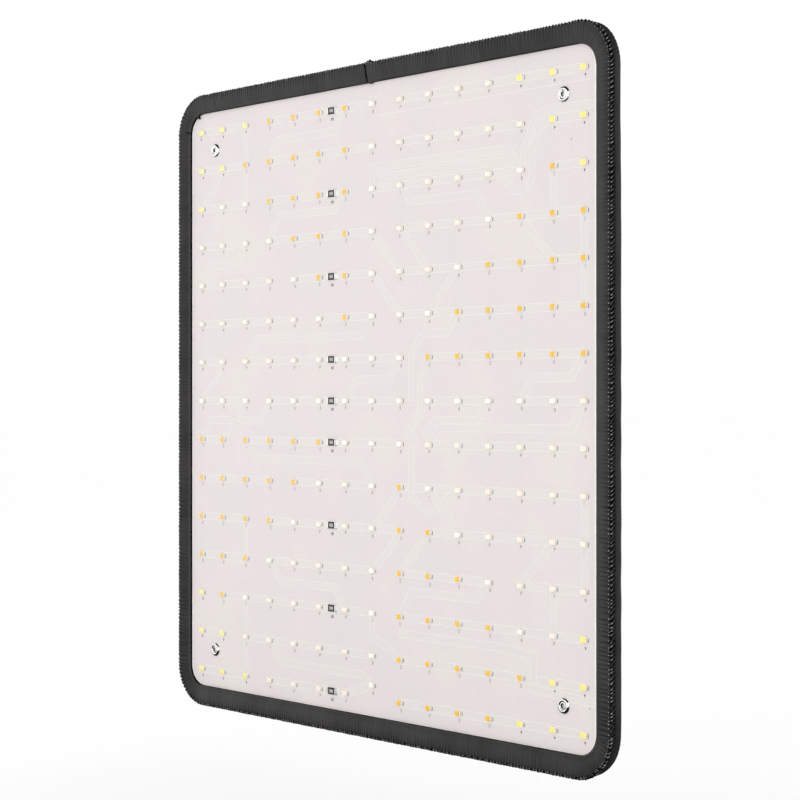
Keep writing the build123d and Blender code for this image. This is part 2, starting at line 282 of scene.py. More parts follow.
def settle(obj, strip, slot, *nodes):
    """Ties a stiff piece to its strip and hides the nodes that it stands for. slot is not used."""
    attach(obj, strip)
    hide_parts(*nodes)


# ================ materials


class Paint:
    """A Principled material and short calls for the nodes behind it."""

    def __init__(self, name, colour, roughness, metallic=0.0, mapping="UV"):
        self.material = bpy.data.materials.new(name)
        self.material.use_nodes = True
        self.tree = self.material.node_tree
        self.shader = self.tree.nodes["Principled BSDF"]
        self.set("Base Color", (*colour, 1.0))
        self.set("Roughness", roughness)
        self.set("Metallic", metallic)
        self.where = self.tree.nodes.new("ShaderNodeTexCoord").outputs[mapping]
        self.bump_from = None

    def set(self, socket, value):
        self.shader.inputs[socket].default_value = value

    def node(self, kind, **values):
        made = self.tree.nodes.new(kind)
        for key, value in values.items():
            if hasattr(made, key):
                setattr(made, key, value)
            else:
                made.inputs[key.replace("_", " ")].default_value = value
        return made

    def link(self, a, b):
        self.tree.links.new(a, b)

    def stretched(self, scale):
        """The texture place, scaled along each axis."""
        made = self.node("ShaderNodeMapping")
        made.inputs["Scale"].default_value = scale
        self.link(self.where, made.inputs["Vector"])
        return made.outputs["Vector"]

    def noise(self, scale, detail=3.0, stretch=None, rough=0.5):
        made = self.node("ShaderNodeTexNoise", Scale=scale, Detail=detail, Roughness=rough)
        self.link(self.stretched(stretch) if stretch else self.where, made.inputs["Vector"])
        return made.outputs["Fac"]

    def ramp(self, value, *stops):
        """Colours along a value. A stop is (place, colour)."""
        made = self.node("ShaderNodeValToRGB")
        elements = made.color_ramp.elements
        while len(elements) < len(stops):
            elements.new(0.5)
        for element, (place_, colour) in zip(elements, stops):
            element.position = place_
            element.color = (*colour, 1.0)
        self.link(value, made.inputs["Fac"])
        return made.outputs["Color"]

    def mix(self, a, b, share, blend="MIX"):
        """Two colours mixed. The mix node's sockets have numbers, as several share a name."""
        made = self.node("ShaderNodeMix", data_type="RGBA", blend_type=blend)
        self.link(a, made.inputs[6])
        self.link(b, made.inputs[7])
        made.inputs[0].default_value = share
        return made.outputs[2]

    def product(self, a, b):
        """Two values multiplied."""
        made = self.node("ShaderNodeMath", operation="MULTIPLY")
        self.link(a, made.inputs[0])
        self.link(b, made.inputs[1])
        return made.outputs[0]

    def wave(self, scale, distortion, **values):
        """Soft stripes along the texture place."""
        made = self.node("ShaderNodeTexWave", Scale=scale, Distortion=distortion, Detail=1.0, **values)
        self.link(self.where, made.inputs["Vector"])
        return made.outputs["Fac"]

    def colour(self, socket):
        self.link(socket, self.shader.inputs["Base Color"])

    def roughness(self, value, low, high):
        made = self.node("ShaderNodeMapRange")
        made.inputs["To Min"].default_value = low
        made.inputs["To Max"].default_value = high
        self.link(value, made.inputs["Value"])
        self.link(made.outputs["Result"], self.shader.inputs["Roughness"])

    def bump(self, height, strength, distance):
        """Adds a bump on top of any before it."""
        made = self.node("ShaderNodeBump", Strength=strength, Distance=distance)
        self.link(height, made.inputs["Height"])
        if self.bump_from is not None:
            self.link(self.bump_from, made.inputs["Normal"])
        self.bump_from = made.outputs["Normal"]
        self.link(self.bump_from, self.shader.inputs["Normal"])


def srgb(r, g, b):
    """Linear colour from 0 to 255 display values."""
    return tuple((((c / 255) + 0.055) / 1.055) ** 2.4 if c > 10 else c / 3295 for c in (r, g, b))


BOARD_TONES = (srgb(219, 214, 212), srgb(222, 213, 213), srgb(223, 216, 213))
WEAVE = 0.0028  # metres


def two_tone(name, base, roughness, grain, dark, light, mapping="UV"):
    """A paint that wanders between two tones, each (place, colour), and the noise that it follows,
    whose grain is (scale, detail)."""
    paint = Paint(name, base, roughness, mapping=mapping)
    noise = paint.noise(*grain)
    paint.colour(paint.ramp(noise, dark, light))
    return paint, noise


def darker_and_lighter(colour):
    """A colour's own dark and light tones."""
    return tuple(c * 0.8 for c in colour), tuple(min(1.0, c * 1.25) for c in colour)


def mask_skin(paint):
    """The fine grain and satin coat of solder mask."""
    paint.bump(paint.noise(1600.0, 2.0), 0.25, 0.00003)
    paint.set("Coat Weight", 0.15)
    paint.set("Coat Roughness", 0.35)
    return paint.material


def board_material():
    paint = Paint("solder_mask_white", BOARD_TONES[1], 0.42)
    cloud = paint.noise(22.0, 3.0)
    fine = paint.noise(900.0, 2.0)
    warm = paint.ramp(cloud, *zip((0.36, 0.5, 0.64), BOARD_TONES))
    speck = paint.ramp(fine, (0.3, (0.95, 0.95, 0.95)), (0.6, (1.0, 1.0, 1.0)))
    paint.colour(paint.mix(warm, speck, 1.0, "MULTIPLY"))
    paint.roughness(fine, 0.36, 0.52)
    return mask_skin(paint)


def trace_material():
    base, dark, light = srgb(229, 226, 221), srgb(226, 222, 217), srgb(232, 229, 224)
    paint, _ = two_tone("trace_edge_cream", base, 0.4, (300.0, 2.0), (0.35, dark), (0.65, light))
    paint.bump(paint.noise(1500.0), 0.2, 0.00002)
    return paint.material


def band_material():
    """Mask over copper: a little greyer than mask over film."""
    base, dark, light = srgb(222, 219, 214), BOARD_TONES[0], srgb(220, 215, 211)
    name = "solder_mask_over_copper"
    return mask_skin(two_tone(name, base, 0.4, (40.0, 3.0), (0.35, dark), (0.65, light))[0])


def print_material(name, colour):
    dark, light = darker_and_lighter(colour)
    return two_tone(name, colour, 0.6, (2500.0, 2.0), (0.35, dark), (0.65, light))[0].material


def rim_highlight_material():
    # Painted highlight: the board's bead along the binding, lighter than the board so that it reads as a
    # bright line.
    base, dark, light = srgb(248, 244, 240), srgb(240, 235, 231), srgb(250, 246, 243)
    paint, _ = two_tone("board_rim_painted_highlight", base, 0.35, (250.0, 2.0), (0.35, dark), (0.65, light))
    paint.bump(paint.noise(900.0), 0.2, 0.00003)
    return paint.material


def binding_material(name, lift):
    """Coated tape: dark, with a soft shine, a leathery grain and streaks across the band. lift
    raises its tones."""
    paint = Paint(name, srgb(44, 43, 43), 0.42)
    cloud = paint.noise(60.0, 3.0)
    streak = paint.noise(420.0, 3.0, stretch=(4.0, 0.3, 1.0))
    grain = paint.noise(2600.0, 4.0, rough=0.6)
    tones = [srgb(*(c + lift for c in tone)) for tone in ((34, 33, 33), (41, 40, 40), (47, 45, 44))]
    base = paint.ramp(cloud, *zip((0.35, 0.5, 0.66), tones))
    lines = paint.ramp(streak, (0.3, (0.7, 0.7, 0.7)), (0.7, (1.2, 1.2, 1.2)))
    paint.colour(paint.mix(base, lines, 0.8, "MULTIPLY"))
    paint.roughness(grain, 0.32, 0.5)
    paint.bump(streak, 0.35, 0.00012)
    paint.bump(grain, 0.35, 0.00005)
    paint.set("Specular IOR Level", 0.22)
    return paint.material


def fold_shade_material():
    """Painted shade: near-black tape for the deep valleys of the gathers, the fold and the groove,
    standing in for the shade there.
    """
    base, dark, light = srgb(11, 10, 10), srgb(7, 7, 7), srgb(16, 15, 14)
    name = "binding_tape_painted_fold_shade"
    paint, grain = two_tone(name, base, 0.8, (2200.0, 3.0), (0.35, dark), (0.7, light))
    paint.bump(grain, 0.4, 0.00008)
    paint.set("Specular IOR Level", 0.06)
    return paint.material


def thread_material():
    # The stitches are real, but their light grey, far above the tape's tone, is partly painted highlight
    # standing in for glints on the gathered fold.
    paint = Paint("thread_black", srgb(120, 118, 115), 0.34)
    twist = paint.wave(900.0, 1.5)
    paint.colour(paint.ramp(twist, (0.3, srgb(104, 102, 100)), (0.7, srgb(156, 154, 150))))
    paint.bump(twist, 0.5, 0.00005)
    return paint.material


def painted_gap_shade_material():
    # Painted shade: the dark brown of the gap between the board and the binding's lip, used on the lip's
    # inner wall and on the board's hidden edge.
    base, dark, light = srgb(24, 18, 15), srgb(16, 12, 10), srgb(32, 24, 19)
    name = "binding_gap_painted_shade"
    paint, grain = two_tone(name, base, 0.85, (1800.0, 3.0), (0.35, dark), (0.7, light))
    paint.bump(grain, 0.5, 0.0001)
    paint.set("Specular IOR Level", 0.15)
    return paint.material


def cover_material():
    """Plain-woven coated cloth: two crossed waves make the over and under of the threads."""
    paint = Paint("cover_cloth_black", srgb(40, 40, 42), 0.72)
    warp = paint.wave(1 / WEAVE, 0.6)
    weft = paint.wave(1 / WEAVE, 0.6, bands_direction="Y")
    weave = paint.product(warp, weft)
    cloud = paint.noise(45.0, 4.0)
    tone = paint.ramp(cloud, (0.35, srgb(34, 34, 36)), (0.65, srgb(46, 46, 49)))
    light = paint.ramp(weave, (0.0, (0.6, 0.6, 0.6)), (0.6, (1.25, 1.25, 1.25)))
    paint.colour(paint.mix(tone, light, 1.0, "MULTIPLY"))
    paint.bump(weave, 0.7, 0.00018)
    paint.bump(paint.noise(2500.0, 3.0), 0.3, 0.00005)
    paint.set("Sheen Weight", 0.25)
    paint.set("Sheen Roughness", 0.4)
    return paint.material


def foam_material():
    paint = Paint("core_foam_grey", srgb(70, 70, 74), 0.9)
    cells = paint.node("ShaderNodeTexVoronoi", Scale=1800.0)
    paint.link(paint.where, cells.inputs["Vector"])
    depth = cells.outputs["Distance"]
    paint.colour(paint.ramp(depth, (0.1, srgb(84, 84, 88)), (0.6, srgb(52, 52, 55))))
    paint.bump(depth, 0.5, 0.0002)
    return paint.material


def package_material():
    base, dark, light = srgb(246, 240, 226), srgb(240, 233, 216), srgb(250, 245, 234)
    name = "led_package_cream"
    paint, _ = two_tone(name, base, 0.32, (1200.0, 2.0), (0.35, dark), (0.65, light), "Object")
    paint.bump(paint.noise(4000.0), 0.2, 0.00001)
    paint.set("Subsurface Weight", 0.1)
    paint.set("Subsurface Radius", (0.001, 0.0008, 0.0006))
    return paint.material


def window_material(name, *tones):
    """Phosphor gel: grains of a few tints under a clear skin. Its tones run from dark to light."""
    dark, mid, light = (srgb(*tone) for tone in tones)
    paint = Paint(name, mid, 0.25, mapping="Object")
    grain = paint.noise(5200.0, 3.0)
    cloud = paint.noise(700.0, 2.0)
    a = paint.ramp(grain, (0.3, dark), (0.5, mid), (0.72, light))
    b = paint.ramp(cloud, (0.3, mid), (0.7, light))
    paint.colour(paint.mix(a, b, 0.5))
    paint.bump(grain, 0.2, 0.00002)
    paint.set("Coat Weight", 0.6)
    paint.set("Coat Roughness", 0.08)
    return paint.material


def metal_material(name, colour, low, high):
    """Rubbed metal whose roughness runs from low to high."""
    paint = Paint(name, colour, (low + high) / 2, metallic=1.0, mapping="Object")
    rub = paint.noise(1500.0, 4.0, stretch=(1.0, 1.0, 0.25))
    paint.roughness(rub, low, high)
    dark = tuple(c * 0.88 for c in colour)
    paint.colour(paint.ramp(paint.noise(450.0, 3.0), (0.3, dark), (0.6, colour)))
    paint.bump(rub, 0.08, 0.00002)
    return paint.material


def plastic_material(name, colour, low, high):
    """Moulded plastic with a fine spark-eroded texture, whose roughness runs from low to high."""
    paint = Paint(name, colour, (low + high) / 2, mapping="Object")
    pits = paint.noise(2200.0, 3.0, rough=0.6)
    cloud = paint.noise(60.0, 3.0)
    dark, light = darker_and_lighter(colour)
    paint.colour(paint.ramp(cloud, (0.35, dark), (0.65, light)))
    paint.roughness(pits, low, high)
    paint.bump(pits, 0.3, 0.00008)
    return paint.material


BOARD = board_material()
BAND = band_material()
TRACE = trace_material()
RIM_HIGHLIGHT = rim_highlight_material()
PRINT = print_material("silk_print_grey", srgb(150, 138, 134))
PRINT_DARK = print_material("silk_print_dark", srgb(112, 99, 92))
BINDING = binding_material("binding_tape_black", 0)
# Painted highlight: a lighter copy of the tape for the rolled lip's crest on the left and right sides,
# where it catches the light.
LIP_HIGHLIGHT = binding_material("binding_tape_painted_lip_highlight", 26)
FOLD_SHADE = fold_shade_material()
THREAD = thread_material()
PAINTED_GAP_SHADE = painted_gap_shade_material()
COVER = cover_material()
FOAM = foam_material()
PACKAGE = package_material()
WINDOWS = {
    "W": window_material("gel_cool_white", (240, 216, 78), (250, 230, 108), (252, 238, 150)),
    "O": window_material("gel_warm", (232, 150, 14), (246, 180, 30), (252, 200, 64)),
    "R": window_material("gel_clear_red_die", (238, 214, 204), (246, 230, 220), (251, 240, 232)),
    "B": window_material("gel_clear_blue_die", (232, 230, 226), (244, 240, 234), (251, 248, 243)),
}
CHROME = metal_material("snap_chrome", (0.86, 0.86, 0.87), 0.03, 0.1)
# Painted shade: the post's bore is near black to stand in for the shade down the hole.
BORE = metal_material("snap_bore_painted_shade", (0.10, 0.10, 0.10), 0.35, 0.55)
TIN = metal_material("solder_tin", (0.88, 0.87, 0.85), 0.3, 0.5)
SCREW = metal_material("screw_zinc", (0.62, 0.62, 0.64), 0.22, 0.4)
BRASS = metal_material("pin_nickel_brass", (0.80, 0.66, 0.38), 0.12, 0.25)
CERAMIC = plastic_material("resistor_coat_black", srgb(30, 28, 28), 0.3, 0.45)
CERAMIC_PRINT = print_material("resistor_print_grey", srgb(186, 184, 182))
BOX_PLASTIC = plastic_material("box_plastic_black", srgb(44, 44, 46), 0.42, 0.62)
SOCKET_PLASTIC = plastic_material("socket_plastic_black", srgb(30, 30, 31), 0.25, 0.4)
GASKET = plastic_material("gasket_rubber_black", srgb(24, 24, 24), 0.7, 0.85)
LAMINATE = plastic_material("terminal_laminate_green", srgb(34, 92, 56), 0.3, 0.5)


# ================ edge binding

SIDE_STEPS = 1264
CORNER_STEPS = 144
SIDE = 2 * CORNER_CENTRE
CORNER_RUN = OUTER_R * math.pi / 2
LOOP = 4 * (SIDE + CORNER_RUN)
WAVES_MIXED = 6
PLEATS = 640
PLEAT_DEPTH = 0.75
PLEAT_LEAN = 0.34
STREAK_DEPTH = 0.20
THREAD_R = 0.24
THREAD_SIDES = 6
SHADE_DEPTH = 0.5
CREST_WAVE = 0.86
# Per side, right, left, top and bottom: how far the lip and the board's bead stand in from their
# sections, how far the fold and the rear band stand out, and how far the fold leans back.
LIP_SHIFT = (0.95, 0.0, 1.5, 1.9)
BEAD_SHIFT = (2.1, 0.0, 1.5, 1.9)
FOLD_SHIFT = (0.45, 1.05, 0.45, 0.5)
REAR_SHIFT = (-0.35, 0.3, 0.1, -0.7)
FOLD_LEAN = (0.25, -0.55, 0.0, 0.0)

# The binding's section, front lip first: distance out from the corner-centre lines, Y, how much
# the fine streaks of the front face move the point, and how much the gathered pleats do.
SECTION = (
    (12.6, -1.78, 0.0, 0.0), (12.1, -1.95, 0.0, 0.0), (11.95, -2.4, 0.05, 0.0),
    (12.0, -2.85, 0.1, 0.0), (12.3, -3.18, 0.2, 0.0), (12.75, -3.32, 0.25, 0.0),
    (13.2, -3.34, 0.3, 0.0), (13.9, -3.52, 0.4, 0.0), (14.9, -3.85, 0.5, 0.02),
    (15.9, -4.14, 0.6, 0.05), (16.8, -4.34, 0.75, 0.09), (17.6, -4.47, 0.9, 0.16),
    (18.3, -4.55, 1.0, 0.32), (18.85, -4.56, 1.0, 0.55), (19.3, -4.42, 0.9, 0.85),
    (19.6, -4.12, 0.7, 1.0), (19.75, -3.72, 0.5, 1.0), (19.78, -3.28, 0.4, 1.0),
    (19.74, -2.84, 0.3, 1.0), (19.72, -2.32, 0.2, 1.0), (19.6, -1.85, 0.1, 0.95),
    (19.32, -1.45, 0.0, 0.85), (18.95, -1.15, 0.0, 0.7), (18.72, -0.85, 0.0, 0.6),
    (18.7, -0.58, 0.0, 0.5), (18.86, -0.32, 0.0, 0.4), (19.26, -0.1, 0.0, 0.25),
    (19.64, 0.15, 0.0, 0.12), (19.88, 0.65, 0.0, 0.05), (20.0, 1.4, 0.0, 0.02),
    (20.0, 2.25, 0.0, 0.02), (19.9, 2.85, 0.0, 0.02), (19.62, 3.35, 0.0, 0.03),
    (19.1, 3.68, 0.1, 0.04), (18.2, 3.78, 0.4, 0.0), (16.5, 3.78, 0.5, 0.0), (14.6, 3.78, 0.5, 0.0),
    (12.9, 3.72, 0.3, 0.0), (12.2, 3.45, 0.1, 0.0), (12.3, 3.06, 0.0, 0.0), (16.62, 3.04, 0.0, 0.0),
    (16.62, -1.76, 0.0, 0.0),
)
SECTION_POINTS = np.arange(len(SECTION))
# The first section points, the lip's inner wall, carry the gap's painted shade.
GAP_SHADE_POINTS = 3
# The section point whose faces carry the painted lip highlight.
LIP_HIGHLIGHT_POINT = 4
LIP_POINTS = 12
FOLD_POINT = 13
SECOND_ROW = 15
STITCHES = (range(12, 15), range(15, 19))
GATHERED = range(12, 22)
GROOVE = slice(21, 25)
GROOVE_SIDES = range(20, 27)
REAR_EDGE = range(26, 35)
LIP_FACE = slice(0, 8)
REAR_TURN = slice(26, 33)
TUCKED = slice(36, 40)
# The material numbers of the binding's pieces; all but the plain tape carry painted shade or a painted
# highlight.
TAPE, TAPE_IN_GAP_SHADE, SHADED_TAPE, HIGHLIGHTED_TAPE = range(4)


def stations():
    """Round the mat from the right side's foot: core X and Z, outward X and Z, and run length."""
    corners = ((1, 1), (-1, 1), (-1, -1), (1, -1))
    starts = ((1, -1), (1, 1), (-1, 1), (-1, -1))
    rows, run = [], 0.0
    for side, ((sx, sz), (ex, ez)) in enumerate(zip(starts, corners)):
        out = (math.cos(side * math.pi / 2), math.sin(side * math.pi / 2))
        for i in range(SIDE_STEPS):
            t = i / SIDE_STEPS
            x = CORNER_CENTRE * (sx + (ex - sx) * t)
            z = CORNER_CENTRE * (sz + (ez - sz) * t)
            rows.append((x, z, *out, run + SIDE * t))
        run += SIDE
        for i in range(CORNER_STEPS):
            t = i / CORNER_STEPS
            a = (side + t) * math.pi / 2
            x, z = CORNER_CENTRE * ex, CORNER_CENTRE * ez
            rows.append((x, z, math.cos(a), math.sin(a), run + CORNER_RUN * t))
        run += CORNER_RUN
    return np.array(rows)


def wander(run, waves, seed):
    """A smooth wave between about -1 and 1 that closes on itself round the mat."""
    rng = np.random.default_rng(seed)
    total = np.zeros_like(run)
    for _ in range(WAVES_MIXED):
        count = rng.integers(max(1, waves // 2), waves * 2)
        total += np.sin(run / LOOP * 2 * math.pi * count + rng.uniform(0, 6.28))
    return total / (WAVES_MIXED / 2)


def section_lengths():
    """How far along the section each point lies."""
    lengths, total = [0.0], 0.0
    for a, b in zip(SECTION, SECTION[1:]):
        total += math.hypot(b[0] - a[0], b[1] - a[1])
        lengths.append(total)
    return np.array(lengths)


def section_normals():
    """The section's outward direction at each point, as reach and Y."""
    points = np.array([p[:2] for p in SECTION])
    along = np.roll(points, -1, axis=0) - np.roll(points, 1, axis=0)
    along /= np.linalg.norm(along, axis=1)[:, None]
    return np.stack([along[:, 1], -along[:, 0]], axis=1)


def pleat_count(run):
    """How many pleats lie before a place on the run, with uneven widths."""
    return run / LOOP * PLEATS + 0.22 * wander(run, 75, 3)


def pleat_phase(i, lengths):
    """How far along the run the pleats have leant at one section point. The second row of
    gathers lies half a pleat on from the first."""
    return PLEAT_LEAN * max(0.0, lengths[i]) + (0.5 if i >= SECOND_ROW else 0.0)


def pleat_height(count, sizes, sharp=1.3):
    """How far the cloth drops below its crest: 0 on a crest and up to about 1 in a valley."""
    number = np.round(count).astype(int)
    size = sizes[number % len(sizes)]
    return (1 - np.abs(np.sin(math.pi * count)) ** sharp) * size


def side_weights(st):
    """How much each station belongs to the right, left, top and bottom sides."""
    ox, oz = st[:, 2], st[:, 3]
    return np.clip(np.stack([ox, -ox, oz, -oz]), 0, 1) ** 2


def bump_at(run, centre, width):
    """1 at one place along the run, falling off over a width."""
    return np.exp(-(((run - centre) / width) ** 2))


TOP_MIDDLE_RUN = SIDE + CORNER_RUN + CORNER_CENTRE
SEAM_RUN = TOP_MIDDLE_RUN + 2.45
FLAP_RUN = TOP_MIDDLE_RUN - 0.9
NICK_RUN = 2 * SIDE + CORNER_RUN + 0.31 * CORNER_RUN


def seam_shape(run, lowered, n):
    """The overlap where the tape's ends meet: a slanted slit and a lifted flap beside it."""
    for i, (out, _, _, _) in enumerate(SECTION[:20]):
        slant = (19.7 - out) * 0.045
        slit = bump_at(run, SEAM_RUN - slant, 0.5)
        # Sunk past SHADE_DEPTH, the slit takes the painted fold shade.
        if i > 4:
            lowered[:, i] += 1.1 * slit
    rise = (run - FLAP_RUN) / 6.5
    flap = np.where((rise > -0.22) & (rise < 1), np.clip(1 - rise, 0, 1) ** 1.5, 0)
    flap *= np.clip((rise + 0.22) / 0.22, 0, 1)
    n[:, 14:20] += 1.0 * flap[:, None]
    n[:, 12:14] += 0.5 * flap[:, None]
    overlap = bump_at(run, SEAM_RUN - 2.6, 1.8)
    n[:, 1:7] -= 0.45 * overlap[:, None]


def corner_creases(run, lowered, n):
    """A nick in the lip at the top left corner and a few creases below it."""
    nick = bump_at(run, NICK_RUN, 0.8)
    n[:, 0:5] -= 1.8 * nick[:, None]
    # The deepest crease sinks past SHADE_DEPTH and takes the painted fold shade.
    for shift, deep in ((17.4, 0.25), (18.8, 0.55), (20.6, 0.22)):
        for i in range(3, 8):
            crease = bump_at(run, NICK_RUN + shift - 0.2 * (i - 8), 0.5)
            lowered[:, i] += deep * crease


def binding_grid():
    """The binding's points as an array of station by section point by X, Y, Z."""
    st = stations()
    run = st[:, 4]
    rng = np.random.default_rng(5)
    sizes = rng.uniform(0.55, 1.2, PLEATS)
    section = np.array(SECTION)
    lengths = section_lengths() - section_lengths()[FOLD_POINT]
    n = np.repeat(section[None, :, 0], len(run), axis=0)
    y = np.repeat(section[None, :, 1], len(run), axis=0)
    lowered = np.zeros_like(n)
    in_corner = np.clip(np.abs(st[:, 2] * st[:, 3]) * 3, 0, 1)
    strength = np.clip(1.0 + 0.3 * wander(run, 30, 5) + 0.35 * in_corner, 0.5, 1.7)
    count = pleat_count(run)
    broad = 0.5 + 0.5 * np.sin(math.pi * count * 0.5 + 1.5 * wander(run, 60, 8))
    for i, (_, _, streak, pleat) in enumerate(SECTION):
        if pleat:
            height = pleat_height(count - pleat_phase(i, lengths), sizes)
            lowered[:, i] += PLEAT_DEPTH * pleat * height * strength
        if streak:
            fine = pleat_height(count, sizes, 1.0) * (0.7 + 0.5 * strength)
            lowered[:, i] += STREAK_DEPTH * streak * (0.55 * fine + 0.45 * broad)
    uneven = wander(run, 330, 9)
    for i in GROOVE_SIDES:
        lowered[:, i] += 0.14 * np.roll(uneven, 5 * i)
    n[:, LIP_FACE] += 0.12 * wander(run, 24, 6)[:, None]
    n[:, REAR_TURN] += 0.10 * wander(run, 40, 7)[:, None]
    n[:, TUCKED] += 0.15 * wander(run, 30, 12)[:, None]
    sides = side_weights(st).T
    lip_share = np.clip((LIP_POINTS - SECTION_POINTS[:LIP_POINTS]) / 7, 0, 1)
    n[:, :LIP_POINTS] -= np.outer(sides @ LIP_SHIFT, lip_share)
    fade = np.clip((SECTION_POINTS - 7) / 5, 0, 1) * (SECTION_POINTS < GATHERED.stop)
    rear = (SECTION_POINTS >= GROOVE.stop) * (SECTION_POINTS < TUCKED.start)
    n += np.outer(sides @ FOLD_SHIFT, fade)
    n += np.outer(sides @ REAR_SHIFT, rear)
    y += np.outer(sides @ FOLD_LEAN, fade)
    n += np.outer(0.6 * bump_at(run, SIDE + 0.65 * CORNER_RUN, 14.0), fade + rear)
    n -= np.outer(0.5 * bump_at(run, SIDE - 5.0, 35.0), rear)
    for i in REAR_EDGE:
        ruffle = pleat_height(count - PLEAT_LEAN * lengths[i], sizes, 0.9)
        lowered[:, i] += 0.22 * in_corner * ruffle
    seam_shape(run, lowered, n)
    corner_creases(run, lowered, n)
    normals = section_normals()
    n -= lowered * normals[None, :, 0]
    y -= lowered * normals[None, :, 1]
    x = st[:, 0:1] + n * st[:, 2:3]
    z = st[:, 1:2] + n * st[:, 3:4]
    return st, np.stack([x, y, z], axis=2), fold_shade(st, count, lengths, lowered)


def fold_shade(st, count, lengths, lowered):
    """Which points get the painted shade: those sunk deeper than SHADE_DEPTH, the valleys of the gathers
    along the fold, and the groove. On the bottom side the gathers run together in pairs."""
    shade = lowered > SHADE_DEPTH
    paired = side_weights(st)[3] > 0.5
    for i in GATHERED:
        turn = count - pleat_phase(i, lengths)
        wave = np.abs(np.sin(math.pi * np.where(paired, turn / 2, turn)))
        shade[:, i] |= (wave < CREST_WAVE) & (paired | (i > FOLD_POINT))
    shade[:, GROOVE] = True
    return shade


def binding_runs(number):
    """The station ranges of one bending piece of the binding."""
    per_side = SIDE_STEPS + CORNER_STEPS
    levels = [int(SIDE_STEPS * cut / SIDE) for cut in PIECE_CUTS[1:-1]]
    right = [SIDE_STEPS // 2 + level for level in levels]
    left = [2 * per_side + SIDE_STEPS // 2 - level for level in levels]
    if number == 0:
        return [(right[0], left[0])]
    if number == 3:
        return [(left[2], 4 * per_side + right[2])]
    return [(right[number], right[number - 1]), (left[number - 1], left[number])]


def add_binding_run(build, st, grid, shade, first, last):
    """One stretch of the binding as a closed tube with capped ends."""
    count = len(SECTION)
    upright = np.abs(st[:, 2]) > 0.7
    lengths = section_lengths()
    rows = [i % len(st) for i in range(first, last + 1)]
    points = grid[rows].reshape(-1, 3).tolist()
    uvs = [(i * LOOP / len(st), v) for i in range(first, last + 1) for v in lengths]
    faces, slots = [], []
    for r in range(len(rows) - 1):
        a, b = r * count, (r + 1) * count
        for i in range(count):
            j = (i + 1) % count
            faces.append((a + i, a + j, b + j, b + i))
            # The lip's crest on the upright sides gets a painted highlight, the lip's inner wall the
            # gap's painted shade, and deep folds the painted fold shade.
            plain = HIGHLIGHTED_TAPE if i == LIP_HIGHLIGHT_POINT and upright[rows[r]] else TAPE
            cloth = SHADED_TAPE if shade[rows[r], i] else plain
            slots.append(TAPE_IN_GAP_SHADE if i < GAP_SHADE_POINTS else cloth)
    faces.append(tuple(reversed(range(count))))
    faces.append(tuple(range((len(rows) - 1) * count, len(rows) * count)))
    build.add(points, faces, TAPE, uvs)
    build.slots[-len(faces) :] = slots + [TAPE, TAPE]


def stitch_path(st, grid, count, number, points, drift):
    """The path of one short stitch: it lies over a crest of the gathers, near its middle."""
    lengths = section_lengths() - section_lengths()[FOLD_POINT]
    normals = section_normals()
    path = []
    for i in points:
        wanted = number + 0.5 + drift + pleat_phase(i, lengths)
        at = int(np.interp(wanted, count, np.arange(len(st)))) % len(st)
        sunk = 0.2 if i in (points[0], points[-1]) else -0.05
        x, y, z = grid[at, i]
        ox, oz = st[at, 2], st[at, 3]
        out, level = normals[i]
        path.append((x - sunk * out * ox, y - sunk * level, z - sunk * out * oz))
    return path


def stitch_paths(st, grid):
    """Every stitch as its station number, thickness and path, in two rows round the fold."""
    count = pleat_count(st[:, 4])
    rng = np.random.default_rng(21)
    paths = []
    for number in range(PLEATS):
        at = int(np.interp(number, count, np.arange(len(st)))) % len(st)
        for points in STITCHES:
            thick = THREAD_R * rng.uniform(0.5, 1.15)
            drift = rng.uniform(-0.22, 0.22)
            paths.append((at, thick, stitch_path(st, grid, count, number, points, drift)))
    return paths


def add_thread(build, path, radius):
    """A plump tube of thread along a path, thinner at its ends."""
    rings = []
    path = [Vector(p) for p in path]
    for k, here in enumerate(path):
        before, after = path[max(0, k - 1)], path[min(len(path) - 1, k + 1)]
        along = (after - before).normalized()
        side = along.cross(Vector((0.31, 0.55, 0.77))).normalized()
        up = along.cross(side)
        size = radius * (0.55 if k in (0, len(path) - 1) else 1.0)
        angles = [q * 2 * math.pi / THREAD_SIDES for q in range(THREAD_SIDES)]
        rings.append(
            [tuple(here + side * (size * math.cos(a)) + up * (size * math.sin(a))) for a in angles]
        )
    uvs = [(r * 0.5, q * 0.15) for r in range(len(path)) for q in range(THREAD_SIDES)]
    add_rings(build, rings, capped=True, uvs=uvs)


def make_binding():
    """The gathered binding, its inner edge painted with the gap's shade, and its stitches, in four
    bending pieces.
    """
    st, grid, shade = binding_grid()
    paths = stitch_paths(st, grid)
    for number, (_, parent, child, _) in enumerate(FOLDS):
        tape, thread = Build(), Build()
        for first, last in binding_runs(number):
            add_binding_run(tape, st, grid, shade, first, last)
            for at, thick, path in paths:
                if first <= at < last or first <= at + len(st) < last:
                    add_thread(thread, path, thick)
        cloths = [BINDING, PAINTED_GAP_SHADE, FOLD_SHADE, LIP_HIGHLIGHT]
        obj = tape.piece(f"binding_{parent}_{child}", cloths, smooth=70)
        bend(obj)
        strips = fold_strips(number)
        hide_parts(*[f"{strip}_edge_binding" for strip in strips])
        sewn = thread.piece(f"stitches_{parent}_{child}", [THREAD], smooth=80)
        bend(sewn)
        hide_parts(*[f"{strip}_binding_stitching" for strip in strips])


# ================ flat layers


def ring_points(reach, steps=12):
    """A rounded square whose corners centre on the mat's corner centres."""
    half = CORNER_CENTRE + reach
    return rounded_outline(half, half, reach, steps)


def make_core():
    """The soft core: a plain slab, split into four pieces at the folds."""
    build = Build()
    ring = ring_points(STACK_R)
    front = BOARD_BACK + 0.02
    stack(build, (0, 0), [(ring, CORE_BACK), (ring, front)], 0, closed_back=True)
    made = fold_all(build.piece("core", [FOAM]), "core", "core_sheet")
    return made


